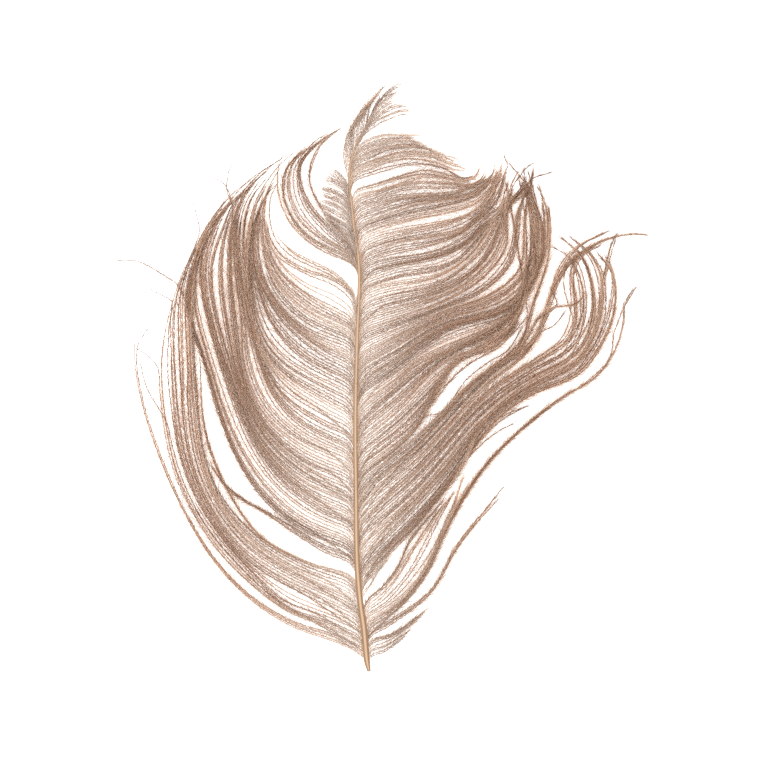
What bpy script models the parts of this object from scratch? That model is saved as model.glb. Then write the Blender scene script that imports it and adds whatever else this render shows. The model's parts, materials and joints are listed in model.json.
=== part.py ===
"""Ostrich feather lying on its back: a quill and shaft, and the locks that its loose barbs have parted into.

Metres, +Z up. +Y runs from the cut end of the quill to the tip, +X is to the right when seen from above,
and the origin is the centre of the feather's footprint on the surface it lies on.

An ostrich barb has no hooks to hold it to its neighbours, so the two vanes fall apart into locks. Each lock
is one thin sheet here, with the outline of its barbs out to their tips. The sheets lie flat near the shaft
and curl up towards their ends, and so does the tip of the shaft.
"""

import math

import bmesh
import bpy
from mathutils import Vector
from mathutils.geometry import delaunay_2d_cdt

# Driving dimensions
LENGTH = 0.250  # cut end of the quill to the topmost barb tip
SHEET = 0.0024  # thickness of a lock of barbs
GAP = 0.0003  # between a lock and the shaft
RISE = 0.017  # how far the barb tips curl up off the surface
CELL = 0.0082  # a sheet bends at places this far apart
WELD = 0.00002  # corners closer than this become one
SHAFT_SPAN = 0.004  # distance between the rings of the shaft

# Outlines are drawn on a sheet 300 units tall, with (0, 0) at its centre.
UNIT = LENGTH / 300

# Where the curl starts, and how far it takes to reach its full height, in units
AXIS_X = -13.0
SIDE_FLAT, SIDE_CURL = 55.0, 75.0
TIP_FLAT, TIP_CURL = 90.0, 80.0

# The shaft from the cut end to its tip: x, y and half its width, in units
SHAFT = (
    (-7.2, -150.0, 0.9),
    (-8.2, -145.0, 1.7),
    (-9.0, -137.0, 2.1),
    (-9.9, -127.5, 2.1),
    (-11.7, -114.5, 2.0),
    (-13.4, -92.9, 1.9),
    (-13.9, -57.4, 1.7),
    (-14.2, -20.8, 1.5),
    (-13.3, 20.8, 1.2),
    (-12.2, 51.2, 1.0),
    (-12.9, 64.8, 0.9),
    (-14.5, 74.9, 0.85),
    (-16.1, 89.3, 0.75),
    (-17.4, 103.7, 0.65),
    (-16.0, 113.7, 0.6),
    (-13.1, 121.7, 0.5),
    (-8.1, 131.0, 0.4),
    (-4.2, 140.0, 0.3),
)

TIP_Y = SHAFT[-1][1]

# Each lock: which side of the shaft it grows from, the lowest and highest place of its roots along the
# shaft, and its outline from the lowest root out to the tips and back to the highest root
LOCKS = {
    "left_lower_lock": (
        -1,
        (-144.0, -99.5),
        (
            (-13, -141), (-20, -137), (-30, -132), (-42, -128), (-54, -122), (-66, -114), (-78, -102.5),
            (-89, -89), (-98, -75), (-105, -60), (-110.5, -45), (-113, -30), (-114, -12), (-115, 5),
            (-115.5, 20), (-114.5, 34), (-111, 42), (-107.5, 46.5), (-103.5, 42), (-101, 30), (-100.5, 15),
            (-98, 0), (-96, -12), (-94.5, -25), (-92, -38), (-88, -48), (-83.5, -58), (-78, -66.5),
            (-71, -74), (-62, -81), (-52, -87.5), (-41, -93.5), (-30, -97.5), (-20, -99.5),
        ),
    ),
    "left_main_lock": (
        -1,
        (-98.0, 38.0),
        (
            (-20, -96.5), (-30, -91.5), (-41, -84.5), (-52, -76.5), (-61, -69), (-66, -60), (-73, -49.5),
            (-79.5, -38), (-84, -26), (-87.5, -13), (-91, 0), (-94, 8), (-98.5, 18), (-99.3, 30),
            (-102, 43.5), (-106, 49.5), (-111, 52), (-119, 57), (-126, 59.8), (-132, 60.8), (-136.4, 59.7),
            (-136.4, 60.9), (-132, 62.2), (-126, 61.4), (-119, 58.8), (-112, 54.8), (-107.5, 53.3),
            (-104, 62), (-100.5, 70), (-96, 77), (-90, 84.5), (-83, 90), (-76, 96.5), (-68, 103),
            (-58, 108.5), (-52.5, 112), (-54, 104), (-56.5, 94), (-57, 86), (-54.5, 78), (-49.5, 71),
            (-42, 65), (-34, 59.5), (-26, 51), (-20, 45), (-16, 40.5),
        ),
    ),
    "left_upper_lock": (
        -1,
        (57.0, 66.0),
        (
            (-20, 61), (-30, 64.5), (-39, 69.5), (-46, 76), (-50.5, 83), (-53, 91), (-52.5, 100),
            (-50.5, 108), (-47.5, 115), (-39, 122), (-32, 126), (-25, 128.5), (-19.5, 129.7),
            (-25, 126), (-29.5, 122), (-33.5, 115.5), (-35, 107), (-34.6, 98), (-34.2, 90), (-33, 84),
            (-30, 78), (-26.5, 73.5), (-21, 69.2),
        ),
    ),
    "left_tuft": (
        -1,
        (68.0, 103.0),
        (
            (-20.5, 71), (-25.5, 75), (-28.8, 79.5), (-31.4, 86), (-32.6, 93), (-32.8, 99),
            (-30.5, 103), (-27.5, 105.5), (-24, 107), (-21.2, 104.5),
        ),
    ),
    "right_lower_lock": (
        1,
        (-143.0, -116.0),
        (
            (-4, -141), (5, -134.5), (15, -126), (24, -116), (29, -106), (31.5, -94), (36, -81),
            (41, -69.5), (46.5, -57.5), (52, -48), (58, -40.4), (66, -32), (76, -23.5), (86, -15.6),
            (96, -8), (107, -1.6), (113, 5), (119, 12), (123, 22), (125.4, 34), (125.4, 46), (122, 56),
            (118.4, 62), (117, 60), (120, 53), (121.4, 44), (121, 34), (118.6, 23), (115, 14.6),
            (109, 7.6), (104, 2.6), (95, -3.4), (85, -11), (75, -20.6), (65, -29.6), (57, -38.2),
            (50.5, -45), (46, -43.6), (43.2, -46), (37.4, -52), (31.4, -60), (24.4, -68),
            (17.5, -77), (10.5, -85.5), (4.4, -94), (-1.6, -102.5), (-5.6, -110),
        ),
    ),
    "right_main_lock": (
        1,
        (-113.0, 96.0),
        (
            (-6.5, -107.5), (-2.4, -100), (3.6, -91.6), (9.6, -83), (16.6, -74.6), (23.6, -65.6),
            (30.4, -57.8), (36.4, -49.8), (42, -43.2), (46.5, -36), (51, -29.5), (57, -21), (63, -13.4),
            (70, -8.6), (80, -4.6), (90, -0.6), (99, 4.6), (106, 11), (111.4, 20), (115.8, 30),
            (118.6, 38), (119.8, 46), (117.8, 54), (114.8, 60), (119, 67), (124, 73), (130, 75.6),
            (136.4, 75.6), (136.4, 76.8), (130, 77.4),
            (122, 76.4), (110, 76.5), (100, 72), (94, 74.5), (91, 65), (87.5, 55), (87.8, 70), (86.5, 84),
            (84.5, 92), (80, 98), (85, 105.5), (77, 109), (70, 105), (64, 112.5), (57, 110.5), (53, 105),
            (50, 109), (44, 106.5), (37, 107), (30, 108.2), (22, 108.6), (14, 106.2), (6, 103), (-2, 99.7),
            (-9, 97),
        ),
    ),
    "right_upper_lock": (
        1,
        (99.5, 115.5),
        (
            (-8, 102.5), (0, 105.5), (8, 108.5), (16, 110.8), (24, 111), (31, 111), (36.5, 113),
            (33, 117.2), (27, 120), (19, 122.5), (10, 125), (2, 125.6), (-5, 122.3), (-10.5, 118),
        ),
    ),
}  # fmt: skip

# The tip plume grows from both sides of the last stretch of the shaft, and closes beyond its end
PLUME_ROOTS = (118.0, 105.0)  # lowest root on the right side, and on the left side
PLUME_CREST = (-3.5, 141.5)  # just past the end of the shaft
PLUME_EDGE = (
    (-19.5, 105.2), (-21, 113), (-20, 122), (-16.5, 132), (-11, 140.5), (-4, 147), (2.5, 149.6),
    (4, 150), (9.5, 149), (8, 145), (8.5, 141.8), (16, 139.4), (16, 137.9), (9, 136.2), (17.2, 134),
    (16, 132.8), (9, 132.4), (2, 130.2), (-5, 125.8), (-10.4, 120.4),
)  # fmt: skip


def lift(x, y):
    """Height in metres of the underside above the surface, at a place given in units."""
    side = max(0.0, abs(x - AXIS_X) - SIDE_FLAT) / SIDE_CURL
    tip = max(0.0, y - TIP_FLAT) / TIP_CURL
    curl = min(1.0, math.hypot(side, tip))
    return RISE * curl * curl * (3 - 2 * curl)


def smooth_path(points, spacing):
    """Points read from a Catmull-Rom curve through the given ones, about this far apart."""
    before_first = [2 * a - b for a, b in zip(points[0], points[1])]
    after_last = [2 * a - b for a, b in zip(points[-1], points[-2])]
    held = [before_first, *points, after_last]
    path = []
    for before, start, end, after in zip(held, held[1:], held[2:], held[3:]):
        steps = max(1, round(math.dist(start[:2], end[:2]) / spacing))
        for t in (i / steps for i in range(steps)):
            path.append([between(*four, t) for four in zip(before, start, end, after)])
    return [*path, list(points[-1])]


def between(a, b, c, d, t):
    """A Catmull-Rom curve through b and c, part t of the way."""
    return b + 0.5 * t * (c - a + t * (2 * a - 5 * b + 4 * c - d + t * (3 * b - a - 3 * c + d)))


def root_points(path, side, start, end):
    """Points down or up one side of the shaft, a gap away from it."""
    points = []
    for i, (x, y, half) in enumerate(path):
        if min(start, end) <= y <= max(start, end):
            behind, ahead = path[max(i - 1, 0)], path[min(i + 1, len(path) - 1)]
            across, along = ahead[0] - behind[0], ahead[1] - behind[1]
            reach = side * (half + GAP / UNIT) / math.hypot(across, along)
            points.append((x + reach * along, y - reach * across))
    return points if start < end else points[::-1]


def material(name, colour, roughness):
    made = bpy.data.materials.new(name)
    made.use_nodes = True
    shader = made.node_tree.nodes["Principled BSDF"]
    shader.inputs["Base Color"].default_value = (*colour, 1)
    shader.inputs["Roughness"].default_value = roughness
    shader.inputs["Metallic"].default_value = 0
    return made


def clear_scene():
    for old in list(bpy.data.objects):
        bpy.data.objects.remove(old, do_unlink=True)


def add_shaft(path, finish):
    """The quill and shaft: one tapering tube that lies on the surface and curls up with the tip."""
    curve = bpy.data.curves.new("shaft", "CURVE")
    curve.dimensions = "3D"
    curve.bevel_depth = UNIT
    curve.bevel_resolution = 2
    curve.use_fill_caps = True
    line = curve.splines.new("POLY")
    line.points.add(len(path) - 1)
    for point, (x, y, half) in zip(line.points, path):
        point.co = (x * UNIT, y * UNIT, lift(x, y) + half * UNIT, 1)
        point.radius = half
    shaft = bpy.data.objects.new("shaft", curve)
    shaft.data.materials.append(finish)
    bpy.context.collection.objects.link(shaft)


def lattice(outline):
    """Places a cell apart over the whole width and height of an outline."""
    ranges = [
        range(math.ceil(min(values) * UNIT / CELL), math.floor(max(values) * UNIT / CELL) + 1)
        for values in zip(*outline)
    ]
    return [Vector((i * CELL, j * CELL)) for i in ranges[0] for j in ranges[1]]


def add_sheet(name, outline, finish):
    """A sheet of this outline, flat near the shaft and curled up further out."""
    edge = [Vector((x * UNIT, y * UNIT)) for x, y in outline]
    inside_triangles = 1
    places, _, corners, *_ = delaunay_2d_cdt(
        edge + lattice(outline), [], [list(range(len(edge)))], inside_triangles, WELD
    )
    bm = bmesh.new()
    for x, y in places:
        bm.verts.new((x, y, lift(x / UNIT, y / UNIT)))
    bm.verts.ensure_lookup_table()
    for face in corners:
        bm.faces.new([bm.verts[i] for i in face])
    bmesh.ops.delete(bm, geom=[v for v in bm.verts if not v.link_faces], context="VERTS")
    top = bmesh.ops.extrude_face_region(bm, geom=bm.faces[:])
    raised = [v for v in top["geom"] if isinstance(v, bmesh.types.BMVert)]
    bmesh.ops.translate(bm, verts=raised, vec=(0, 0, SHEET))
    bmesh.ops.triangulate(bm, faces=bm.faces[:])
    bmesh.ops.recalc_face_normals(bm, faces=bm.faces[:])
    mesh = bpy.data.meshes.new(name)
    bm.to_mesh(mesh)
    bm.free()
    mesh.materials.append(finish)
    bpy.context.collection.objects.link(bpy.data.objects.new(name, mesh))


def add_locks(path, finish):
    for name, (side, (low, high), edge) in LOCKS.items():
        add_sheet(name, [*root_points(path, side, high, low), *edge], finish)


def add_tip_plume(path, finish):
    right, left = PLUME_ROOTS
    slot = root_points(path, 1, right, TIP_Y) + [PLUME_CREST] + root_points(path, -1, TIP_Y, left)
    add_sheet("tip_plume", slot + list(PLUME_EDGE), finish)


clear_scene()
shaft_path = smooth_path(SHAFT, SHAFT_SPAN / UNIT)
add_shaft(shaft_path, material("shaft_horn", (0.56, 0.38, 0.24), 0.45))
barbs = material("barb_fluff", (0.50, 0.37, 0.29), 0.85)
add_locks(shaft_path, barbs)
add_tip_plume(shaft_path, barbs)
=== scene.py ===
# %% [markdown]
# # An ostrich feather, groomed barb by barb
#
# The real thing is one growth of keratin: a shaft, a few hundred soft barbs that leave it to the left and
# right, and along both sides of every barb a fringe of barbules finer than a hair. Nothing hooks the barbs
# together, so they fall into locks and strands with gaps between them, and their ends curl. Here it lies on
# its back on a pale table, seen from straight above.
#
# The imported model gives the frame: the shaft and one thin sheet for each lock. Each of them is hidden behind
# the piece that is made for it below, and keeps its place.

# %% The frame
import json
import math

import bmesh
import bpy
import numpy as np
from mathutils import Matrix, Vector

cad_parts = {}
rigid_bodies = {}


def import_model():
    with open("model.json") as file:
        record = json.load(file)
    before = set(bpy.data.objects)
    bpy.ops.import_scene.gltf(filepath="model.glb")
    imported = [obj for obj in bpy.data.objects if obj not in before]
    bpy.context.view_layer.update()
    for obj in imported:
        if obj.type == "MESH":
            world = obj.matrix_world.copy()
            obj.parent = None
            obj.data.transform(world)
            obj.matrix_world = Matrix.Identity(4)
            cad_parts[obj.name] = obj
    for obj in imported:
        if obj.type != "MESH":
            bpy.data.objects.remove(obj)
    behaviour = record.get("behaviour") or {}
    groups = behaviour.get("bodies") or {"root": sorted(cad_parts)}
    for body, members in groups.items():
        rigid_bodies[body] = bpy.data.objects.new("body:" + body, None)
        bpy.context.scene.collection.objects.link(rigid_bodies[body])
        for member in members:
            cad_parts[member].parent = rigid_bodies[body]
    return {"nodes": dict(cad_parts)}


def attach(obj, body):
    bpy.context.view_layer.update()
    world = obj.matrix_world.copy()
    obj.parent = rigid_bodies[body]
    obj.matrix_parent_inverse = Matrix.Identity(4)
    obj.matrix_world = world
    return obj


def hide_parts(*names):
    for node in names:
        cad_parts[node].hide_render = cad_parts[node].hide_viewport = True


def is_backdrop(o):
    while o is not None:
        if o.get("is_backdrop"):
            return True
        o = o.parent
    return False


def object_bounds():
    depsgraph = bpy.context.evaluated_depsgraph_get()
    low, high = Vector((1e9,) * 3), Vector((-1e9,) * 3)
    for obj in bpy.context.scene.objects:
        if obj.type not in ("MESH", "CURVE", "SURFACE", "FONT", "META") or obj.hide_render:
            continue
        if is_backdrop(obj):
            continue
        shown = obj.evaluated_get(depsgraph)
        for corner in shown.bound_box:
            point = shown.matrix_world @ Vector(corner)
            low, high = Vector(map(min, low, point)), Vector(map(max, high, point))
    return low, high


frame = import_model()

cad_low, cad_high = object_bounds()
print("frame:", len(frame["nodes"]), "nodes, box", [round(v, 4) for v in cad_high - cad_low])

# %% [markdown]
# ## Measures
#
# The feather is drawn in units: 272.8 of them across its widest barb tips. The frame says how many metres
# that is, so a larger or smaller frame gives a larger or smaller feather. The surface below is flat near the
# shaft, and the barbs lift off it towards their ends. This is the same rise that the hidden sheets have.

# %% Units and the rise of the barbs
WIDTH_IN_UNITS = 272.8
UNIT = (cad_high.x - cad_low.x) / WIDTH_IN_UNITS
RISE = 0.017  # metres that the ends lift off the surface
AXIS_X = -13.0  # the line up the feather that the sides lift away from, in units
SIDE_FLAT, SIDE_CURL = 55.0, 75.0  # units to either side that stay flat, and over which the rest lifts
TIP_FLAT, TIP_CURL = 90.0, 80.0  # the same towards the tip, counted from the middle

print("one unit is", round(UNIT * 1000, 4), "mm")


def ease(t):
    """0 up to 0, 1 from 1 on, and a smooth step between."""
    t = np.clip(t, 0.0, 1.0)
    return t * t * (3 - 2 * t)


def lift(x, y):
    """Metres that a place, given in units, lies above the surface."""
    side = np.maximum(0.0, np.abs(x - AXIS_X) - SIDE_FLAT) / SIDE_CURL
    tip = np.maximum(0.0, y - TIP_FLAT) / TIP_CURL
    return RISE * ease(np.hypot(side, tip))


# %% [markdown]
# ## Smooth lines
#
# A person draws a curve with a few well placed points. A Catmull-Rom curve passes through all of them
# without a corner, so each strand below stays a short list. Reading the curve at equal steps along its
# length then lets two strands be mixed step by step.

# %% Curves through points
def through(points, steps=12):
    """A smooth line through the points, with this many steps from each to the next."""
    points = np.array(points, float)
    gap = np.linalg.norm(np.diff(points[:, :2], axis=0), axis=1)[:, None] ** 0.5
    slope = np.diff(points, axis=0) / gap
    inner = (slope[:-1] * gap[1:] + slope[1:] * gap[:-1]) / (gap[:-1] + gap[1:])
    pull = np.vstack([slope[:1], inner, slope[-1:]])
    t = np.linspace(0, 1, steps, endpoint=False)[:, None, None]
    hold = points[:-1] * (1 + 2 * t) * (1 - t) ** 2 + points[1:] * t * t * (3 - 2 * t)
    turn = gap * (pull[:-1] * t * (1 - t) ** 2 - pull[1:] * t * t * (1 - t))
    return np.vstack([np.swapaxes(hold + turn, 0, 1).reshape(-1, points.shape[1]), points[-1:]])


def spaced(line, count):
    """The same line read at equal distances, from one end to the other."""
    steps = np.linalg.norm(np.diff(line, axis=0), axis=1)
    run = np.concatenate([[0], np.cumsum(steps)])
    at = np.linspace(0, run[-1], count)
    return np.column_stack([np.interp(at, run, axis) for axis in line.T])


# %% [markdown]
# ## The line of the shaft
#
# The shaft runs from the cut end of the quill at the bottom to a hair-fine tip at the top, with a slow bend
# and a hook to the right at the end. Each row gives x, y and half the width, in units. Everything else
# grows out of this line, so it comes first.

# %% Shaft line
SHAFT = (
    (-7.2, -150.0, 0.9),
    (-8.2, -145.0, 1.65),
    (-9.0, -137.0, 1.8),
    (-9.9, -127.5, 1.75),
    (-11.7, -114.5, 1.65),
    (-13.4, -92.9, 1.5),
    (-13.9, -57.4, 1.35),
    (-14.2, -20.8, 1.2),
    (-13.3, 20.8, 1.05),
    (-12.2, 51.2, 0.95),
    (-12.9, 64.8, 0.9),
    (-14.5, 74.9, 0.85),
    (-16.1, 89.3, 0.75),
    (-17.4, 103.7, 0.65),
    (-16.0, 113.7, 0.6),
    (-13.1, 121.7, 0.5),
    (-8.1, 131.0, 0.4),
    (-4.2, 140.0, 0.25),
    (0.5, 147.6, 0.08),
)
shaft_line = through(SHAFT)


def shaft_at(y):
    """x and half width of the shaft at a height y, in units."""
    return [np.interp(y, shaft_line[:, 1], shaft_line[:, axis]) for axis in (0, 2)]


print("shaft:", len(SHAFT), "points, half width at the middle", round(float(shaft_at(0.0)[1]), 2), "units")

# %% [markdown]
# ## The strands
#
# A groomer works with guide hairs: a few strands placed one by one, which the hundreds of others follow.
# Each row below is one strand: the height on the shaft that it grows from, and the points it passes, from the
# shaft outwards. Rows are in order up the shaft. Where two neighbours end far apart, the barbs between them
# part, and follow one or the other.

# %% Guide strands
STRANDS = {
    "left_lower_lock": (
        (-146.5, ((-13, -142.5), (-24, -137), (-46, -127.5), (-66, -115.5), (-86, -96), (-101, -74))),
        (-143, (
            (-14, -138.5), (-24, -133), (-48, -124.5), (-71, -109.5), (-92, -85), (-119.5, -22),
            (-126, 12), (-123, 38.5), (-118.5, 46),
        )),
        (-140, (
            (-15, -134.5), (-26, -128.5), (-50, -119), (-81, -93.5), (-98.5, -68), (-109.5, -41),
            (-115, 8), (-109, 48), (-101, 68), (-96.5, 73.5),
        )),
        (-135, (
            (-15, -130), (-26, -124.5), (-48, -117), (-57, -110), (-89, -73.5), (-102, -47), (-108, -20),
            (-110, 24), (-99, 64), (-93, 75), (-86, 84),
        )),
        (-127, (
            (-15, -122.5), (-60, -100), (-79, -83.5), (-94, -59), (-103, -30), (-107, 28), (-106, 40),
            (-99, 62), (-90, 77), (-82, 86.5),
        )),
        (-119, (
            (-15.5, -114.5), (-51, -98), (-72, -83.5), (-87.5, -63), (-97, -38), (-100, -10), (-99.5, 5),
            (-100, 47), (-94, 68), (-86, 80), (-77, 90.5), (-69, 97),
        )),
        (-111, (
            (-16.5, -107), (-41, -98), (-64, -84), (-80.5, -66), (-90.5, -44), (-97.5, 14), (-97, 45),
            (-93.5, 69), (-84, 84.5), (-74, 95), (-63, 102.5),
        )),
        (-104, ((-17, -101), (-42, -93.5), (-65, -79), (-85, -46), (-97, 10))),
    ),
    "left_main_lock": (
        (-95, ((-20, -92), (-30, -88), (-60, -69), (-78, -57.5), (-88, -44), (-90, -35))),
        (-90, (
            (-18, -87.5), (-41, -78), (-61, -62.5), (-75, -42), (-85, -17), (-92, 8), (-99, 28),
            (-100.5, 40), (-96, 63), (-91.5, 73), (-83, 85), (-74, 94.5),
        )),
        (-82, (
            (-18.5, -79.5), (-42, -69), (-61, -52), (-75, -30), (-88, 8), (-97, 42), (-94, 65),
            (-85, 81), (-76, 92.5), (-67, 100.5),
        )),
        (-74, (
            (-18.5, -71.5), (-30, -67.5), (-52, -51.5), (-67, -30), (-90, 32), (-94, 56), (-89, 76),
            (-81, 89.5), (-71, 98.5),
        )),
        (-65, (
            (-19, -62.5), (-43, -51), (-61, -33), (-73, -10), (-87.5, 40), (-88, 60), (-82, 78),
            (-77, 89.5), (-67, 101),
        )),
        (-56, (
            (-19, -53.5), (-43, -42), (-61, -25), (-72, -2), (-77, 24), (-79.5, 62), (-77.5, 82),
            (-72.5, 96), (-63, 106),
        )),
        (-47, (
            (-19, -44.5), (-43, -33.5), (-62, -17), (-71.5, 5), (-73.5, 31), (-76.5, 57), (-76.5, 79),
            (-72, 94), (-62, 105), (-54, 111.5),
        )),
        (-38, (
            (-19.5, -35), (-43, -22.5), (-57.5, -5.5), (-72, 43), (-75, 68), (-72.5, 87), (-64, 101),
            (-58, 106.5),
        )),
        (-29, ((-19.5, -26), (-31.5, -21), (-51.5, -7), (-62.5, 13), (-72, 61), (-68.5, 90), (-53, 107.5))),
        (-21, ((-19.5, -18), (-52, 3), (-65, 22), (-70, 57), (-66.5, 86.5), (-57, 101), (-51, 106))),
        (-12, ((-19.5, -9), (-53, 10), (-64, 27), (-67.5, 71.5), (-58.5, 98), (-47.5, 110))),
        (-3, (
            (-19, 0), (-42, 13), (-57.5, 30), (-65, 50), (-67, 70), (-63.5, 89), (-55.5, 103.5),
            (-43, 113),
        )),
        (6, ((-18.5, 9), (-30, 14.5), (-50, 31), (-66, 58), (-65.5, 78), (-60, 96), (-51, 109))),
        (14, ((-18, 17), (-41, 26.5), (-57, 43), (-63.5, 61), (-63.5, 80), (-59, 98), (-45.5, 114.5))),
        (22, ((-17.5, 25), (-40, 36), (-55, 51), (-62, 72), (-61, 93), (-53.5, 109))),
        (29, ((-17, 32), (-38, 43.5), (-54.5, 59), (-61, 80), (-57.5, 101), (-46, 115.5))),
        (31, (
            (-16.7, 37), (-26, 43), (-39, 48.7), (-52, 59), (-58.3, 71), (-60.5, 86), (-58, 99),
            (-50, 110),
        )),
        (33, (
            (-16.5, 41.5), (-21, 47.5), (-28, 51), (-39, 54), (-49.3, 59.3), (-55.9, 65.9), (-60, 76),
            (-59.5, 92), (-52, 107),
        )),
        (35.5, (
            (-16, 43), (-20.5, 49), (-28, 54), (-39, 58.5), (-48, 63.3), (-54, 69.3), (-58, 78),
            (-58.3, 92), (-51, 106),
        )),
        (38, (
            (-15.5, 44), (-20, 50.5), (-28, 57), (-39, 62.9), (-46.3, 67.3), (-51.5, 72.5), (-56, 80),
            (-57, 92), (-52, 105),
        )),
    ),
    "left_upper_lock": (
        (58, ((-17, 60.5), (-32, 67), (-47, 79), (-54, 95), (-51, 110), (-46, 116))),
        (60, ((-17, 63), (-40, 76), (-50, 91), (-49, 108), (-44.5, 115), (-32, 124.5))),
        (62, ((-17, 65.5), (-31, 74), (-43.5, 88), (-46.5, 106), (-37, 120.5), (-26, 127.5))),
        (64, ((-17, 68), (-29, 78), (-40, 92.5), (-42.5, 109.5), (-33, 122), (-19.8, 129.5))),
        (66, ((-16.5, 70), (-27, 81), (-36, 95.5), (-38, 104), (-32.5, 119), (-23, 127))),
    ),
    "left_tuft": (
        (68, ((-17, 72), (-26, 78), (-29, 81))),
        (75, ((-18.5, 79.5), (-28, 84.5), (-31.5, 87))),
        (82, ((-19, 86.5), (-23.5, 89.5), (-32, 93))),
        (89, ((-20, 93.5), (-24.5, 96), (-32.3, 98.5))),
        (95, ((-20.5, 99.5), (-24.5, 101.5), (-30.5, 104))),
        (101, ((-20.5, 103.5), (-23, 106), (-26, 107.5))),
    ),
    "tip_plume_left": (
        (104, ((-19.5, 108), (-21, 113), (-18.5, 126), (-12, 138))),
        (110, ((-19, 115), (-17.5, 127.5), (-4.5, 145))),
        (118, ((-16.5, 123.5), (-11.5, 135.5), (-2, 147))),
        (127, ((-12, 132), (-9, 137.5), (-0.5, 148))),
        (135, ((-7.5, 139.5), (-1, 148), (3, 150.6))),
    ),
    "tip_plume_right": (
        (118, ((-11, 123), (0, 130.5), (12, 133.8), (17, 133.4))),
        (123, ((-8.5, 128), (-4, 132.3), (7, 137.7), (16, 138.6))),
        (128, ((-6.5, 133), (2, 139.8), (7, 141.3))),
        (133, ((-4.5, 137.5), (-0.5, 141.5), (8, 147))),
        (139, ((-2, 143), (5.5, 149), (9, 149.8))),
    ),
    "right_upper_lock": (
        (99.5, ((-12, 102.5), (11, 109.5), (22, 110), (32, 107), (41, 104), (46, 107))),
        (101.5, ((-12.5, 105), (1.5, 111), (18, 112.8), (28, 111), (37, 107.5), (44, 106.5))),
        (105, ((-12.5, 108.3), (9, 116.2), (24, 115.5), (35, 112), (40, 110))),
        (108.5, ((-12.5, 112), (0, 117.8), (16, 119.8), (29, 117))),
        (112, ((-12, 115.8), (-7, 118.8), (6, 122.6), (20, 121))),
        (115.5, ((-12.5, 119), (-3, 124.3), (20, 125))),
    ),
    "right_main_lock": (
        (-113, ((-9, -113), (-2, -99), (3, -93))),
        (-107, ((-7.5, -103), (0.5, -91.5), (23.5, -67.5), (52, -28))),
        (-100, (
            (-8, -93.5), (27, -58.5), (57.5, -19.5), (76, -5.5), (97.5, 4), (105.5, 12), (116.5, 33.5),
            (116.5, 54.5), (108.5, 65.5),
        )),
        (-97, (
            (-8, -91), (28, -53), (58, -17), (80, -3), (98, 7), (105, 18), (108.7, 37.5), (110, 49.5),
            (112.5, 58), (118.5, 70), (124, 75),
        )),
        (-94, (
            (-8.5, -88), (28, -51), (57.5, -17.5), (79, -2.5), (98, 8), (107, 20), (112, 33), (113.5, 47),
            (111, 57), (104, 67),
        )),
        (-89, (
            (-10, -83), (19, -57), (49.5, -21.5), (70, -4.5), (99.5, 14), (108.5, 34), (106.5, 56.5),
            (101, 66.5), (93.5, 73.5),
        )),
        (-85.5, (
            (-10, -79.5), (19, -54), (49, -19.5), (69.5, -3), (98, 14.5), (105.5, 30), (106, 45),
            (103.5, 57), (97.5, 68),
        )),
        (-82, (
            (-10, -76), (18.5, -51), (48, -17.5), (68.5, -1.5), (97.5, 16.5), (103.5, 36), (99.5, 56.5),
            (92.5, 64.3),
        )),
        (-78.5, (
            (-10, -72), (18, -48), (52, -11), (77, 7), (95.5, 18), (100, 31), (99.5, 44), (97, 56),
            (92, 66), (86, 72),
        )),
        (-75, (
            (-10, -69), (18, -45), (56, -4.5), (86, 14), (93.5, 20), (97.5, 28.5), (98, 38), (95, 56),
            (99, 63), (117, 71),
        )),
        (-71.5, (
            (-10.5, -65), (18, -41.5), (54, -2.5), (72, 11), (78.5, 21), (83, 38), (87.6, 56), (93, 64.5),
            (99, 69), (110, 76.3),
        )),
        (-68, (
            (-10.5, -62), (18, -38), (54, 0), (72, 14), (79, 23), (92, 56), (107, 69.5), (124, 76),
            (136.4, 76),
        )),
        (-64, (
            (-10.5, -58), (18, -34.5), (49, -0.5), (69, 13.5), (74.8, 22), (79, 30.5), (84, 35.5),
            (91, 37.5), (97, 38.5), (102, 43.5),
        )),
        (-60, ((-10.5, -54), (18, -31), (44, -4.5), (70, 17), (77, 38), (84.5, 62), (84.5, 86), (81, 96))),
        (-52, ((-10.5, -46), (16, -25), (38.5, 10), (57, 18), (65, 25), (71, 34))),
        (-43, ((-10.5, -37), (8, -22.5), (31, 1.5), (37, 9), (63, 24), (69, 32.5))),
        (-34, ((-10.5, -28.5), (7.5, -14), (32.5, 10), (52, 17.5), (68, 31), (77, 53))),
        (-26, ((-10.5, -20.5), (25.5, 9), (61, 28.5), (68.5, 35.5), (73, 46), (74, 57), (72, 80))),
        (-18, (
            (-10.5, -12.5), (8, 1), (17, 8.5), (62, 30.5), (75.5, 47), (83.5, 70), (83, 91), (79.5, 98),
        )),
        (-10, (
            (-10.5, -4), (8, 8), (27, 22.5), (38, 28), (61, 34), (70.5, 41), (81.5, 63), (82, 86),
            (77, 103),
        )),
        (-2, ((-10.5, 3.5), (8, 14), (28, 27), (63, 38), (78, 56), (79.5, 80), (74, 100), (75, 109))),
        (5.5, ((-10, 10.5), (30, 31.5), (64, 45), (76.5, 63), (76, 86), (69, 104))),
        (13, ((-9.5, 17.5), (31, 35.5), (53, 44), (69.5, 58), (72.5, 79), (75, 91), (81, 106))),
        (20.5, ((-9.5, 24.5), (32, 40), (52, 51.5), (64.5, 68.5), (64, 88), (67, 98))),
        (27, ((-9, 31), (-1, 34.5), (20, 40.5), (42, 50), (57.5, 66.5), (65.5, 96), (70, 105))),
        (33.5, ((-8.5, 37.5), (-1, 41), (31, 49.5), (49, 63), (64, 91), (70, 98.5), (72.5, 104))),
        (40, ((-8.5, 44), (-1, 47.5), (30, 54), (46.5, 65.5), (66, 100))),
        (46.5, ((-8.5, 50.5), (8, 56.5), (29, 60), (38, 64), (59.5, 84), (74, 89.5))),
        (53, ((-8.5, 57), (-1.5, 60.5), (29, 66.5), (46, 76), (53, 83), (75, 97), (80, 103.5))),
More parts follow.
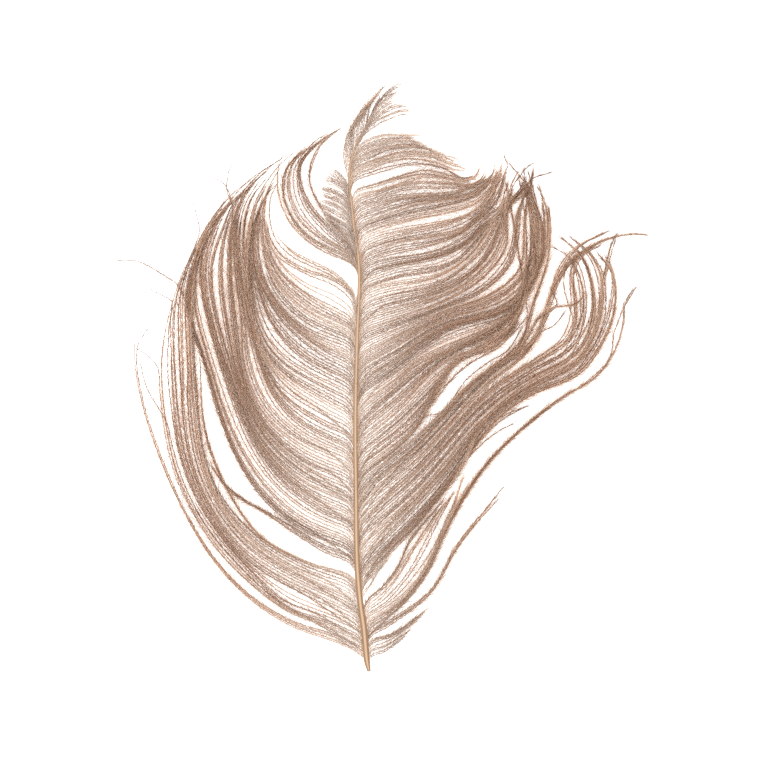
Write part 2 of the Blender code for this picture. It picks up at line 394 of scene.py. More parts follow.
        (59, ((-9, 63), (7, 69), (38.5, 75.5), (53.5, 88.5), (61, 106))),
        (65, ((-9.5, 69), (-3, 72.5), (38, 82.5), (47, 87), (59.5, 102), (62.5, 109))),
        (71, ((-10.5, 75), (-4, 78.5), (16, 84.5), (48, 92), (59.5, 105), (60, 110))),
        (77, ((-11, 80.5), (16, 90), (48, 96.5), (57, 107), (56.5, 110.5))),
        (83, ((-11.5, 86.5), (4, 92), (38, 96.5), (53, 103), (55, 108))),
        (89, ((-12, 92.5), (14, 100.5), (45, 99.5), (50, 102), (52.5, 107))),
        (92, ((-12, 94.7), (6, 99.3), (20, 103.5), (32, 103), (42, 101.5), (48, 104), (51.5, 108.5))),
        (94.5, ((-12, 97.5), (22, 107), (40, 103.5), (46, 104.5), (49.5, 109))),
    ),
    "right_lower_lock": (
        (-147, ((-3.5, -143.5), (4, -138.5), (11, -133))),
        (-143.5, ((-4, -140.5), (9, -132), (15, -127.5))),
        (-140, ((-3.5, -136), (12, -127), (25, -117))),
        (-136, ((-4, -131.5), (24, -110), (38, -87), (63, -56))),
        (-131, (
            (-4.5, -126), (11, -114), (23.5, -97), (32, -77.5), (56, -40.5), (91, -9.5), (108, 1.5),
            (119.5, 18), (123.5, 40), (118.5, 58.5),
        )),
        (-126, ((-5, -122), (3, -117.5), (18.5, -103), (45, -50))),
        (-121, ((-6, -117), (0.5, -111.5), (12.5, -96), (26.5, -71), (38, -54))),
        (-118, ((-5, -112.5), (7, -98), (14.5, -84), (33, -58))),
    ),
}
SIDES = {name: 1 if "right" in name else -1 for name in STRANDS}  # right and left of the shaft
NODES = {name: name for name in STRANDS} | {"tip_plume_left": "tip_plume", "tip_plume_right": "tip_plume"}
# lowest and highest root, how the spacing of the barbs changes on the way up, and how full their fringe is
ROOT_RANGES = {
    "left_lower_lock": (-148.0, -99.5, (1.1, 1.3, 1.05), 0.85),
    "left_main_lock": (-98.0, 38.0, (1.0, 1.15, 0.75), 1.0),
    "left_upper_lock": (57.0, 67.0, (0.36, 0.4), 0.7),
    "left_tuft": (68.0, 103.0, (0.6, 0.6), 0.8),
    "tip_plume_left": (105.0, 137.0, (1.3, 1.1), 0.6),
    "right_lower_lock": (-147.5, -116.0, (0.8, 0.6), 1.0),
    "right_main_lock": (-113.0, 97.0, (0.88, 0.82, 0.7), 0.95),
    "right_upper_lock": (99.0, 116.0, (0.5, 0.58), 0.95),
    "tip_plume_right": (118.0, 140.0, (0.9, 0.9), 0.7),
}
print("strands:", sum(len(rows) for rows in STRANDS.values()))

# %% [markdown]
# ## From a strand to the shaft
#
# A barb leaves the shaft almost along it and turns outwards within a few millimetres. Points given one by one
# would have to repeat that small bend on every strand. So the start of each strand is replaced by a neck: one
# curve that leaves the shaft along its own direction and joins the strand without a corner.

# %% Guide lines read at equal steps
STEPS = 96  # places along each line
ROOT_DROP = {-1: 5.5, 1: 3.5}  # how far the roots of the left and right vane sit below their rows' heights
QUILL_BARE, DROP_FADE = -150.0, 35.0  # the drop fades out over this many units down to the end of the quill
NECK = 10.0  # units along a strand where the bend out of the shaft has ended
NECK_SHARE = 0.4  # the most of a short strand that the bend may take
NECK_PULL = 0.5  # how strongly both ends of the neck hold their direction
AHEAD = 3.0  # units further up, where the shaft's direction is read


def guide_line(side, height, points):
    """One strand from inside the shaft to its end, as places in units."""
    line = spaced(through(points), STEPS + 1)
    length = np.linalg.norm(np.diff(line, axis=0), axis=1).sum()
    met = max(2, int(min(NECK / length, NECK_SHARE) * STEPS))
    root_y = height - ROOT_DROP[side] * ease((height - QUILL_BARE) / DROP_FADE)
    (x, half), (ahead, _) = shaft_at(root_y), shaft_at(root_y + AHEAD)
    root = np.array([x + side * 0.4 * half, root_y])
    leaving = np.array([ahead - x + side * 0.6, AHEAD])
    onward = line[met + 1] - line[met - 1]
    pull = NECK_PULL * np.linalg.norm(line[met] - root)
    first = root + pull * leaving / np.linalg.norm(leaving)
    second = line[met] - pull * onward / np.linalg.norm(onward)
    t = np.linspace(0, 1, 20, endpoint=False)[:, None]
    neck = root * (1 - t) ** 3 + 3 * first * t * (1 - t) ** 2 + 3 * second * t * t * (1 - t)
    neck += line[met] * t**3
    return spaced(np.concatenate([neck, line[met:]]), STEPS + 1)


guides = {
    name: (
        np.array([height for height, _ in rows]),
        np.stack([guide_line(SIDES[name], height, points) for height, points in rows]),
    )
    for name, rows in STRANDS.items()
}
print("guides:", {name: len(lines) for name, (_, lines) in guides.items()})

# %% [markdown]
# ## Filling in the barbs
#
# A barb between two guides mixes them. Close to the shaft the mix is even, so the roots stay evenly spaced.
# Further out each barb leans towards the nearer guide, which opens the light gaps that a real plume shows.
# Where two guides end far apart, a whole tuft keeps beside the nearer one, because a barb cannot float in
# the gap.

# %% Mixing neighbouring guides
rng = np.random.default_rng(31)
ALONG = np.linspace(0, 1, STEPS + 1)
LEAN = (0.1, 0.9)  # how far a barb leans to the nearer guide
LEAN_FULL = 0.5  # share of its length where it has leaned all the way
PART_FROM, PART_FULL = 26.0, 46.0  # units between two guides' ends: barbs start to part, and have parted
OVERSHOOT = 0.15  # how far a barb may follow the two last guides beyond them


def mixed(name, roots, homes=None, tight=1.0):
    """Lines for these roots, between the guides of a lock, where the barbs of one tuft share a home."""
    heights, lines = guides[name]
    homes = roots if homes is None else homes

    def between(places):
        below = np.clip(np.searchsorted(heights, places) - 1, 0, len(heights) - 2)
        share = (places - heights[below]) / (heights[below + 1] - heights[below])
        return below, np.clip(share, -OVERSHOOT, 1 + OVERSHOOT)

    below, share = between(roots)
    first, second = lines[below], lines[below + 1]
    lean = rng.uniform(*LEAN, len(roots)) * tight
    leaned = share + lean * (ease(share) - share)
    weight = share[:, None] + (leaned - share)[:, None] * ease(ALONG / LEAN_FULL)
    together = first + (second - first) * weight[..., None]

    home, home_share = between(homes)
    apart = np.linalg.norm(lines[home, -1] - lines[home + 1, -1], axis=1)
    parting = ease((apart - PART_FROM) / (PART_FULL - PART_FROM))[:, None, None]
    nearest = lines[home + (home_share > 0.5)]
    shift = (together[:, 0] - nearest[:, 0])[:, None] * (1 - 0.5 * ease(ALONG / LEAN_FULL))[:, None]
    return together + (nearest + shift - together) * parting


# %% [markdown]
# ## Tufts, wander and loose ends
#
# Barbs also cling to one another, mostly in twos to fives. A barb is drawn towards the middle line of its
# tuft: not at all at the root, more and more on the way out and almost fully at the tip, so that a tuft ends
# in one fine point. One barb in five keeps to itself. A slow sideways wander, made of a few sine waves,
# keeps any two from running parallel for long.

# %% Tufts and wander
CLING = (0.35, 0.85)  # how far a barb is drawn to its tuft on most of its length
TIP_CLING = 0.97  # and at its tip
LOOSE = 0.2  # share of the barbs that keep to themselves
TUFT_SIZES, TUFT_ODDS = (1, 2, 3, 4, 5), (0.12, 0.26, 0.30, 0.20, 0.12)


def sideways(lines):
    """The direction square to each line, to its left, at every step."""
    heading = np.gradient(lines[..., :2], axis=1)
    heading /= np.linalg.norm(heading, axis=2, keepdims=True)
    return np.stack([-heading[..., 1], heading[..., 0]], axis=2)


def wander(count, waves, size):
    """Rows of slow random waves that start from nothing at the root."""
    total = np.zeros((count, STEPS + 1))
    for wave in range(1, waves + 1):
        pace = rng.uniform(0.6, 1.4, (count, 1)) * wave
        total += np.sin(2 * np.pi * (pace * ALONG + rng.uniform(0, 1, (count, 1)))) / wave
    return size * total * ease(ALONG / 0.3) * (0.4 + 0.6 * ALONG)


def lengths(lines):
    """How long each line is, in the measure it is given in."""
    return np.linalg.norm(np.diff(lines, axis=1), axis=2).sum(axis=1)


def tufts_of(count):
    """A tuft number for each barb, in order along the shaft."""
    sizes = rng.choice(TUFT_SIZES, count, p=TUFT_ODDS)
    return np.repeat(np.arange(count), sizes)[:count]


def middle(values, tuft):
    """The mean of the values in each tuft."""
    return np.bincount(tuft, values) / np.bincount(tuft)


# %% [markdown]
# ## The bed
#
# The barbs lie on one another, so each tuft gets its own height above the table, a fraction of a millimetre
# to a few. It leaves the side of the shaft, sinks to that height, follows the rise towards the edge of the
# feather, and its end curls up a little more. Nothing may pass through the table.

# %% Heights
BED = (0.4, 3.0)  # millimetres that tufts lie above the flat sheet
SETTLE = 9.0  # units from the shaft over which a barb sinks into the bed
END_CURL = (0.0, 4.5)  # millimetres that the ends curl up further
LAYER_SPREAD, CURL_SPREAD, RIPPLE = 0.25, 0.6, 0.35  # millimetres that the barbs of a tuft differ by
CLEAR = 0.25  # millimetres that every barb keeps above the table


def bed_heights(lines, tuft):
    """Metres above the table for every step of every line."""
    count = len(lines)
    layer = rng.uniform(*BED, tuft.max() + 1)[tuft] + rng.normal(0, LAYER_SPREAD, count)
    curl = rng.uniform(*END_CURL, tuft.max() + 1)[tuft] + rng.normal(0, CURL_SPREAD, count)
    length = lengths(lines)
    away = ease(ALONG * length[:, None] / SETTLE)
    _, half = shaft_at(lines[:, 0, 1])
    start = (half * UNIT * 1000)[:, None]
    above = start + (layer[:, None] - start) * away
    above += curl[:, None] * ease((ALONG - 0.6) / 0.4) + wander(count, 3, RIPPLE)
    return lift(lines[..., 0], lines[..., 1]) + np.maximum(above, CLEAR) / 1000


# %% [markdown]
# ## A few barbs that went their own way
#
# What makes a plume look real are the ones that broke ranks: single barbs that leave the outline, cross a
# gap or curl back. Each follows its lock as far as its first point, then runs through the rest.

# %% Stray barbs
STRAYS = (
    ("left_main_lock", -88, (
        (-102, 43), (-106, 49.5), (-110, 52), (-119, 57.5), (-126, 60.5), (-136.2, 60.3),
    )),
    ("left_lower_lock", -134, ((-108, 40), (-113, 43), (-118.5, 46))),
    ("left_lower_lock", -143, ((-125, 18), (-122, 23), (-119, 28))),
    ("left_lower_lock", -139, ((-115, 6), (-120, 12), (-126, 16))),
    ("left_lower_lock", -137, ((-110, -23), (-113, -17), (-120, -5), (-124, 10))),
    ("left_lower_lock", -127, ((-94, 76), (-95.5, 84), (-97, 90))),
    ("left_lower_lock", -124, ((-92, 74), (-86, 84), (-78, 91), (-69, 97.5))),
    ("left_lower_lock", -116, ((-93, 69), (-87, 80), (-80, 88.5), (-72, 94.5), (-64, 103))),
    ("left_lower_lock", -112, ((-88, 79), (-81, 88), (-74, 94), (-66, 100))),
    ("left_main_lock", -57, ((-77, 84), (-78.5, 94), (-82, 101), (-88, 104))),
    ("left_main_lock", -54, ((-77, 88), (-80, 97), (-79, 106), (-77, 110.5))),
    ("right_lower_lock", -131, ((123, 38), (125.5, 43.5), (128, 46))),
    ("right_main_lock", 62, ((61, 103), (63.5, 109), (62, 114))),
    ("right_main_lock", -1, ((76, 92), (74, 99), (70, 104), (65, 110))),
    ("right_main_lock", 30, ((66, 98), (70, 104), (73, 108), (76, 110))),
    ("right_main_lock", 50, ((68, 93), (73, 99), (77, 103), (85, 105.5))),
    ("right_lower_lock", -132, (
        (114.5, 9), (116.4, 14.4), (117.2, 22.9), (119.4, 28.9), (122, 35.8), (127.1, 44.4),
    )),
    ("right_main_lock", -64, ((80, 31.5), (85, 34.5), (88.5, 38), (86.7, 44.4))),
    ("right_main_lock", -62, ((74, 18), (81, 24.5), (87, 27.5), (92, 33.5))),
    ("right_main_lock", -96, ((106, 15), (112, 28), (113.5, 42), (112, 54), (106, 64), (98, 71))),
    ("right_main_lock", -92, ((104, 18), (109, 30), (110, 44), (107.5, 57), (102, 66), (96, 72))),
    ("right_main_lock", -86, ((100, 20), (105.5, 32), (106.5, 46), (103, 58), (97, 67), (91, 72))),
    ("right_main_lock", -80, ((96, 21), (101, 31), (102, 44), (99, 55), (94, 63), (88, 67))),
    ("right_main_lock", -74, ((92, 20), (97, 30), (97.5, 42), (97, 52), (101, 62), (110, 68))),
    ("right_main_lock", -70, ((82, 27), (86, 38), (90, 50), (97, 61), (106, 68), (118, 73))),
    ("right_main_lock", -66, ((80, 22), (83, 33), (87, 45), (93, 56), (101, 64.5), (111, 70))),
    ("left_main_lock", -70, ((-88, 72), (-82, 86), (-74, 97), (-66, 104), (-57, 110))),
    ("left_main_lock", -60, ((-79, 80), (-75, 91), (-68, 101), (-60, 108), (-52, 113))),
    ("left_main_lock", -44, ((-76.5, 79), (-73, 90), (-66, 101), (-57, 110), (-50, 114.5))),
    ("left_main_lock", -25, ((-69, 76), (-66, 90), (-60, 101), (-53, 110), (-46, 116))),
    ("right_main_lock", -106, ((42, -42), (52, -32), (60, -26), (66, -23))),
    ("right_main_lock", -104, ((44, -38), (54, -27), (62, -20), (70, -15.5))),
    ("right_main_lock", -102, ((46, -36), (55, -24), (64, -17.5), (73, -14))),
    ("right_main_lock", -58, ((74, 30), (72.5, 46), (69.5, 64), (66.8, 82), (64, 98))),
    ("right_main_lock", -30, ((72, 40), (71, 54), (69, 68), (66, 84), (63, 100))),
    ("right_main_lock", -24, ((71, 42), (73, 56), (73.5, 72), (72, 88), (70, 101))),
    ("right_main_lock", -14, ((74, 46), (77.5, 60), (79, 76), (78, 92), (74.5, 105))),
    ("right_main_lock", -6, ((72, 46), (75, 60), (75.5, 76), (74, 92), (72, 106))),
    ("right_main_lock", -57, ((36, -15), (48, -5.5), (58.5, 6), (67, 13.5), (73, 23))),
    ("right_main_lock", -55, ((30, -17), (43, 0), (53.5, 8.5), (64, 15), (70.5, 25.5))),
    ("right_main_lock", -49, ((27, -10), (38, 3), (49, 11), (60, 17), (69, 28))),
    ("right_main_lock", -46, ((22, -12), (33, -2), (44, 8), (56, 15), (66, 26))),
    ("right_main_lock", -76, ((97, 30), (94.5, 38), (92.3, 47), (92.5, 57))),
)
print("strays:", len(STRAYS))


def stray_line(name, height, points):
    """A line that follows its lock up to the first point, and then passes the others."""
    base = mixed(name, np.array([float(height)]))[0]
    leave = int(np.argmin(np.linalg.norm(base - points[0], axis=1)))
    kept = base[: max(leave - 3, 2)][::-8][::-1]
    return spaced(through([base[0], *kept[1:], *points]), STEPS + 1)


# %% [markdown]
# ## Growing a lock
#
# This puts the steps together: roots a little unevenly spaced, lines between the guides, tufts, wander,
# ends bent to either side, lengths that differ, and heights. The result is one array of places for each
# lock, and a tone for each barb, because barbs of one feather are never all the same colour.

# %% Grow the barbs
BARB_SPACING = 1.5  # units along the shaft, where a lock's own spacing is 1
UNEVEN = (0.7, 1.3)  # the least and the most of its spacing that a barb keeps
SWAY, QUIVER = 0.9, 0.35  # units that tufts, and single barbs, wander to the side
END_BEND = 1.6  # units that the ends of tufts bend to the side
LONG = 80.0  # a barb shorter than this many units strays and clings less
STRAY_TONE = 0.4  # strays are darker by this factor
# by height on the shaft, how much of its line the shortest barb covers
ENDS = {
    "left_lower_lock": ((-148, 0.25), (-136, 0.35), (-130, 0.8), (-99, 0.85)),
    "left_main_lock": ((-98, 0.85), (-65, 0.85), (-50, 0.82), (-25, 0.76), (0, 0.5), (25, 0.5), (38, 0.6)),
    "right_main_lock": ((-113, 0.94), (-60, 0.94), (-40, 0.8), (0, 0.86), (96, 0.88)),
    "right_lower_lock": ((-144, 0.85), (-136, 0.85), (-133, 0.5), (-129, 0.5), (-128, 0.85), (-116, 0.85)),
    "left_upper_lock": ((57, 0.94), (67, 0.94)),
    "left_tuft": ((68, 0.92), (103, 0.92)),
}


def read_at(lines, row, share):
    """Places on the lines: which line, and what share of the way along it."""
    step = np.clip(share, 0, 1) * (lines.shape[1] - 1)
    before = np.minimum(step.astype(int), lines.shape[1] - 2)
    part = (step - before)[..., None]
    return lines[row, before] * (1 - part) + lines[row, before + 1] * part


def grow(name, low, high, spacing):
    """Barbs of one lock: places in metres, and a tone from 0 to 1 for each."""
    gaps = np.linspace(0, 1, round((high - low) / (np.mean(spacing) * BARB_SPACING)))
    gaps = np.interp(gaps, np.linspace(0, 1, len(spacing)), spacing) * rng.uniform(*UNEVEN, len(gaps))
    roots = low + (high - low) * np.cumsum(gaps) / gaps.sum()
    count = len(roots)
    tuft = tufts_of(count)
    homes = middle(roots, tuft)
    strands = mixed(name, homes)
    long = np.minimum(1, lengths(strands)[:, None] / LONG)
    bend = rng.normal(0, END_BEND, (len(strands), 1)) * ease((ALONG - 0.7) / 0.3) ** 1.5
    strands += sideways(strands) * (long * (wander(len(strands), 3, SWAY) + bend))[..., None]
    tight = np.where(rng.random(count) < LOOSE, 0.0, 1.0)
    lines = mixed(name, roots, homes[tuft], tight)
    hold = rng.uniform(*CLING, (count, 1)) * ease((ALONG - 0.1) / 0.6)
    hold += (TIP_CLING - hold) * ease((ALONG - 0.75) / 0.25)
    lines += (strands[tuft] - lines) * (hold * tight[:, None] * long[tuft])[..., None]
    loose = wander(count, 5, QUIVER) * (1 - 0.8 * ease((ALONG - 0.6) / 0.4))
    lines += sideways(lines) * (long[tuft] * loose)[..., None]
    own_strays = [stray_line(*row) for row in STRAYS if row[0] == name]
    if own_strays:
        lines = np.concatenate([lines, own_strays])
        tuft = np.concatenate([tuft, tuft.max() + 1 + np.arange(len(own_strays))])
    heights = bed_heights(lines, tuft)
    places = np.concatenate([lines * UNIT, heights[..., None]], axis=2)
    end = np.ones(len(lines))
    heights_of, shortest = np.transpose(ENDS[name]) if name in ENDS else ((low, high), (0.85, 0.85))
    end[:count] = 1 - (1 - np.interp(roots, heights_of, shortest)) * rng.random(count) ** 0.8
    rows = np.arange(len(lines))[:, None]
    places = read_at(places, rows, ALONG * end[:, None])
    tone = rng.uniform(0.2, 0.8, tuft.max() + 1)[tuft] + rng.normal(0, 0.2, len(lines))
    tone[count:] *= STRAY_TONE
    return places, np.clip(tone, 0, 1)


locks = {}
for name, (low, high, spacing, _) in ROOT_RANGES.items():
    locks[name] = grow(name, low, high, spacing)
    steps = np.linalg.norm(np.diff(locks[name][0], axis=1), axis=2)
    print(name, len(steps), "barbs,", round(float(steps.sum()), 1), "m in all")

# %% [markdown]
# ## Threads
#
# A barb is a thread that tapers to nothing, and a barbule is a short spike. Both are made once with bmesh:
# a triangle is extruded ring by ring and its last ring is drawn together to a point, which leaves a closed
# body. Hundreds of copies are then bent along their lines with arrays and joined into one mesh. Real hair
# curves would be lost when the feather is used elsewhere, and a mesh is not.

# %% One thread
def thread(sides, rings):
    """A closed tapering tube of triangles along Z, one unit from ring to ring: corners and faces."""
    bm = bmesh.new()
    bmesh.ops.create_circle(bm, cap_ends=True, radius=1, segments=sides)
    cap = bm.faces[:]
    for number in range(rings):
        grown = bmesh.ops.extrude_face_region(bm, geom=cap)["geom"]
        if number:
            bmesh.ops.delete(bm, geom=cap, context="FACES_ONLY")
        ring = [part for part in grown if isinstance(part, bmesh.types.BMVert)]
        cap = [part for part in grown if isinstance(part, bmesh.types.BMFace)]
        bmesh.ops.translate(bm, verts=ring, vec=(0, 0, 1))
    bmesh.ops.pointmerge(bm, verts=ring, merge_co=(0, 0, rings))
    bmesh.ops.triangulate(bm, faces=bm.faces[:])
    bmesh.ops.recalc_face_normals(bm, faces=bm.faces[:])
    bm.verts.index_update()
    corners = np.array([corner.co for corner in bm.verts])
    faces = np.array([[corner.index for corner in face.verts] for face in bm.faces])
    print("thread of", rings, "rings:", len(corners), "corners,", len(faces), "triangles")
    bm.free()
    return corners, faces


def along_lines(corners, lines, radius):
    """Copies of a thread, each bent along its line and as thick as its radius says: count x corners x 3."""
    heading = np.gradient(lines, axis=1)
    heading /= np.linalg.norm(heading, axis=2, keepdims=True)
    across = np.cross([0.0, 0.0, 1.0], heading)
    across /= np.maximum(np.linalg.norm(across, axis=2, keepdims=True), 1e-9)
    upward = np.cross(heading, across)
    ring = np.rint(corners[:, 2]).astype(int)
    spread = corners[:, :1] * across[:, ring] + corners[:, 1:2] * upward[:, ring]
    return lines[:, ring] + radius[:, ring, None] * spread


# %% [markdown]
# ## From arrays to a mesh
#
# The copies share one list of faces, shifted by the number of corners for each copy. The map gives every
# corner two numbers that the colours are read from: how far along its barb it is, and its tone. Barbs use
# the lower half of the map and barbules the upper half. Fibres of one tone lie over each other there, which
# does no harm, because the colour depends on nothing but the place in the map.

# %% Joined pieces
MAP = "OFBake"


def joined(name, places, faces, marks):
    """One piece from many copies: their places, the faces of one copy, and the map place of each corner."""
    count, corners, _ = places.shape
    index = (faces[None] + (np.arange(count) * corners)[:, None, None]).ravel()
    mesh = bpy.data.meshes.new(name)
    mesh.vertices.add(count * corners)
    mesh.vertices.foreach_set("co", places.astype(np.float32).ravel())
    mesh.loops.add(len(index))
    mesh.loops.foreach_set("vertex_index", index.astype(np.int32))
    mesh.polygons.add(len(index) // 3)
    mesh.polygons.foreach_set("loop_start", np.arange(0, len(index), 3, dtype=np.int32))
    mesh.update(calc_edges=True)
    layer = mesh.uv_layers.new(name=MAP)
    layer.uv.foreach_set("vector", marks.reshape(-1, 2)[index].astype(np.float32).ravel())
    mesh.shade_smooth()
    piece = bpy.data.objects.new(name, mesh)
    bpy.context.collection.objects.link(piece)
    return piece


# %% [markdown]
# ## Barbs
#
# The thread of a barb is about four tenths of a millimetre thick where it leaves the shaft, slims down to a
# quarter of a millimetre, and closes in a point. Barbs that are short are finer all along. Three sides are
# enough, because nobody can see at this size that the thread isn't round.

# %% Barb pieces
BARB_HALF, BARB_END = 0.25, 0.15  # half the thickness at the root and before the point, in units
SLIM_BELOW = 60.0  # barbs shorter than this many units are finer
RING_GAP = 2.7  # units between two rings
BARB_BAND = (0.03, 0.45)  # the part of the map that barbs use
MARK = 0.003  # width of a fibre in the map
FADE = 110.0  # units from the shaft over which a barb turns from pale to brown
TIP_FROM, TIP_LENGTH = 0.8, 14.0  # the dark tip: where it starts in the map, and how long it is in units


def mark_along(share, length):
    """Where the map reads a fibre: it fades away from the shaft, and its last stretch is the dark tip."""
    faded = np.minimum(1, share * length / np.maximum(FADE, 0.75 * length))
    tip = np.minimum(TIP_LENGTH, 0.25 * length)
    return 0.02 + 0.94 * (TIP_FROM * faded + (1 - TIP_FROM) * ease(1 - (1 - share) * length / tip))


def add_barbs(name, places, tone):
    """One thread for each barb of a lock."""
    length = lengths(places) / UNIT
    rings = int(np.ceil(np.percentile(length, 80) / RING_GAP))
    corners, faces = thread(3, rings)
    share = np.linspace(0, 1, rings + 1)
    lines = read_at(places, np.arange(len(places))[:, None], np.tile(share, (len(places), 1)))
    taper = BARB_END + (BARB_HALF - BARB_END) * (1 - share**1.4)
    slim = np.minimum(1, length / SLIM_BELOW)[:, None] ** 0.5
    bodies = along_lines(corners, lines, UNIT * taper * slim)
    ring = np.rint(corners[:, 2]).astype(int)
    angle = np.arctan2(corners[:, 1], corners[:, 0])
    marks = np.empty((len(places), len(corners), 2))
    marks[..., 0] = mark_along(share[ring], length[:, None])
    marks[..., 1] = BARB_BAND[0] + (BARB_BAND[1] - BARB_BAND[0]) * tone[:, None] + MARK * np.cos(angle / 2)
    return joined(name + "_barbs", bodies, faces, marks)


# %% [markdown]
# ## Barbules
#
# They stand off both sides of the barb and point to its end, wider near the shaft and closer along the barb
# at its tip. They are what makes the plume soft: too fine to be seen one by one, together they lay a haze
# between the barbs. Next to the shaft there are none, and towards the tips of the left vane they are much
# shorter than on the right. They hang a little below the barb, which makes the haze deep.

# %% Barbule pieces
FULL_GAP, QUICK_GAP = 0.85, 1.6  # units between barbules on one side of a barb
BARBULE_GAP = FULL_GAP
BARBULE_HALF = 0.11  # half the thickness at its root, in units
BARBULE_LENGTH = 7.6  # units, from halfway out on a long barb
SHORT_BARB = 45.0  # barbs shorter than this many units have shorter barbules
OUTWARD = {-1: 1.1, 1: 0.88}  # left and right; below 1 puts more of them further out
BARBULE_ANGLE = ((0, 26), (0.5, 24), (0.8, 16), (1, 8))  # share of the barb, degrees from it
BARE = 4.0  # units next to the shaft without barbules, or a tenth of a short barb
NEARBY = 0.012  # share of the barb to either side where its direction is read
ASTRAY = 0.5  # how unevenly they stand off
TILT, TILT_SPREAD = -30.0, 20.0  # degrees out of the sheet of barbs, below it
TRIM = {-1: 0.65, 1: 0.15}  # how much shorter they get at the tips of the left and right barbs
DOWN_BAND = (0.55, 0.95)  # the part of the map that barbules use
DOWN_TONE, DOWN_TIP = 0.8, 0.07  # how far into it a barb's tone reaches, and how much further their tips are
PIECE_LIMIT = 190000  # triangles in one piece


def barbule_lines(places, fullness, side_of):
    """Where each barbule starts and ends, which barb it is on, and how far along that barb."""
    length = lengths(places) / UNIT
    per_side = np.maximum(2, (length * fullness / BARBULE_GAP).astype(int))
    barb = np.repeat(np.arange(len(places)), 2 * per_side)
    number = np.concatenate([np.arange(2 * count) for count in per_side])
    share = ((number // 2 + rng.random(len(number))) / per_side[barb]) ** OUTWARD[side_of]
    share += (1 - share) * np.minimum(0.1, BARE / length[barb])
    side = np.where(number % 2, 1.0, -1.0)[:, None]
    start = read_at(places, barb, share)
    heading = read_at(places, barb, share + NEARBY) - read_at(places, barb, share - NEARBY)
    heading /= np.linalg.norm(heading, axis=1, keepdims=True)
    out = np.cross([0.0, 0.0, 1.0], heading)
    out /= np.linalg.norm(out, axis=1, keepdims=True)
    upward = np.cross(heading, out)
    angle = np.interp(share, *np.transpose(BARBULE_ANGLE))
    angle = np.radians(angle * np.exp(rng.normal(0, ASTRAY, len(barb))))[:, None]
    tilt = np.radians(rng.normal(TILT, TILT_SPREAD, len(barb)))[:, None]
    way = np.cos(angle) * heading + np.sin(angle) * (side * np.cos(tilt) * out + np.sin(tilt) * upward)
    trimmed = 1 - TRIM[side_of] * ease((share - 0.8) / 0.2)
    reach = BARBULE_LENGTH * (0.65 + 0.35 * ease(share / 0.5)) * trimmed
    reach = reach * rng.uniform(0.65, 1.15, len(barb)) * np.minimum(1, length[barb] / SHORT_BARB) ** 0.5
    stop = start + way * (reach * UNIT)[:, None]
    stop[:, 2] = np.maximum(stop[:, 2], CLEAR / 1000)
    return np.stack([start, stop], axis=1), barb, mark_along(share, length[barb])


def add_barbules(name, places, tone):
    """The fringe of a lock's barbs, in as many pieces as it needs."""
    lines, barb, along = barbule_lines(places, ROOT_RANGES[name][-1], SIDES[name])
    corners, faces = thread(3, 1)
    parts = math.ceil(len(lines) * len(faces) / PIECE_LIMIT)
    made = []
    for part, chosen in enumerate(np.array_split(np.arange(len(lines)), parts)):
        radius = np.tile([BARBULE_HALF * UNIT, 0.0], (len(chosen), 1))
        bodies = along_lines(corners, lines[chosen], radius)
        marks = np.empty((len(chosen), len(corners), 2))
        shade = tone[barb[chosen]] * DOWN_TONE
        marks[..., 0] = along[chosen][:, None] + MARK * corners[:, 0]
        marks[..., 1] = DOWN_BAND[0] + (DOWN_BAND[1] - DOWN_BAND[0]) * shade[:, None]
        marks[..., 1] += MARK * corners[:, 1] + DOWN_TIP * corners[:, 2]
        ending = f"_{part + 1}" if parts > 1 else ""
        made.append(joined(f"{name}_barbules{ending}", bodies, faces, marks))
    return made


# %% [markdown]
# ## Both on every lock
#
# Barbs and barbules of a lock are made together. They ride on the one body that a feather is, they take the
# place of the lock's plain sheet, and they share the finish that is kept for barbs.

# %% Grow both on every lock
triangles = 0
for name, (places, tone) in locks.items():
    made = [add_barbs(name, places, tone), *add_barbules(name, places, tone)]
    for piece in made:
        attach(piece, "root")
        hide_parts(NODES[name])
        triangles += len(piece.data.polygons)
        print(piece.name, len(piece.data.polygons), "triangles")
print("fibres:", triangles, "triangles")

# %% [markdown]
# ## The shaft
#
# The shaft is horn: a round quill, cut off at the bottom, that runs on as a slim rod with a shallow groove
# down its middle. It starts from the same thread as a barb, with more sides. The groove is pressed into the
# rings, and the cut end is inset and pushed in, because a quill is hollow.

# %% Shaft piece
SHAFT_SIDES, SHAFT_RINGS = 20, 150
GROOVE = 0.20  # depth, as a share of the half width
GROOVE_WIDTH = 24.0  # degrees
BORE_WALL, BORE_DEPTH = 0.3, 3.0  # the cut end, in units


def add_shaft():
    """The whole shaft, from the cut end of the quill to the tip."""
    corners, faces = thread(SHAFT_SIDES, SHAFT_RINGS)
    line = spaced(shaft_line, SHAFT_RINGS + 1)
    half = line[:, 2]
    height = lift(line[:, 0], line[:, 1]) + half * UNIT
    places = np.column_stack([line[:, :2] * UNIT, height])[None]
    angle = np.degrees(np.arctan2(corners[:, 1], corners[:, 0]))
    groove = 1 - GROOVE * np.exp(-(((angle - 90) / GROOVE_WIDTH) ** 2))
    pressed = corners * np.column_stack([groove, groove, np.ones(len(corners))])
    body = along_lines(pressed, places, (half * UNIT)[None])
    ring = np.rint(corners[:, 2])
    marks = np.empty((1, len(corners), 2))
    marks[0, :, 0] = ring / SHAFT_RINGS
    marks[0, :, 1] = 0.5 + 0.48 * corners[:, 0] * np.where(corners[:, 1] < 0, 0.5, 1)
    return joined("shaft_horn", body, faces, marks)


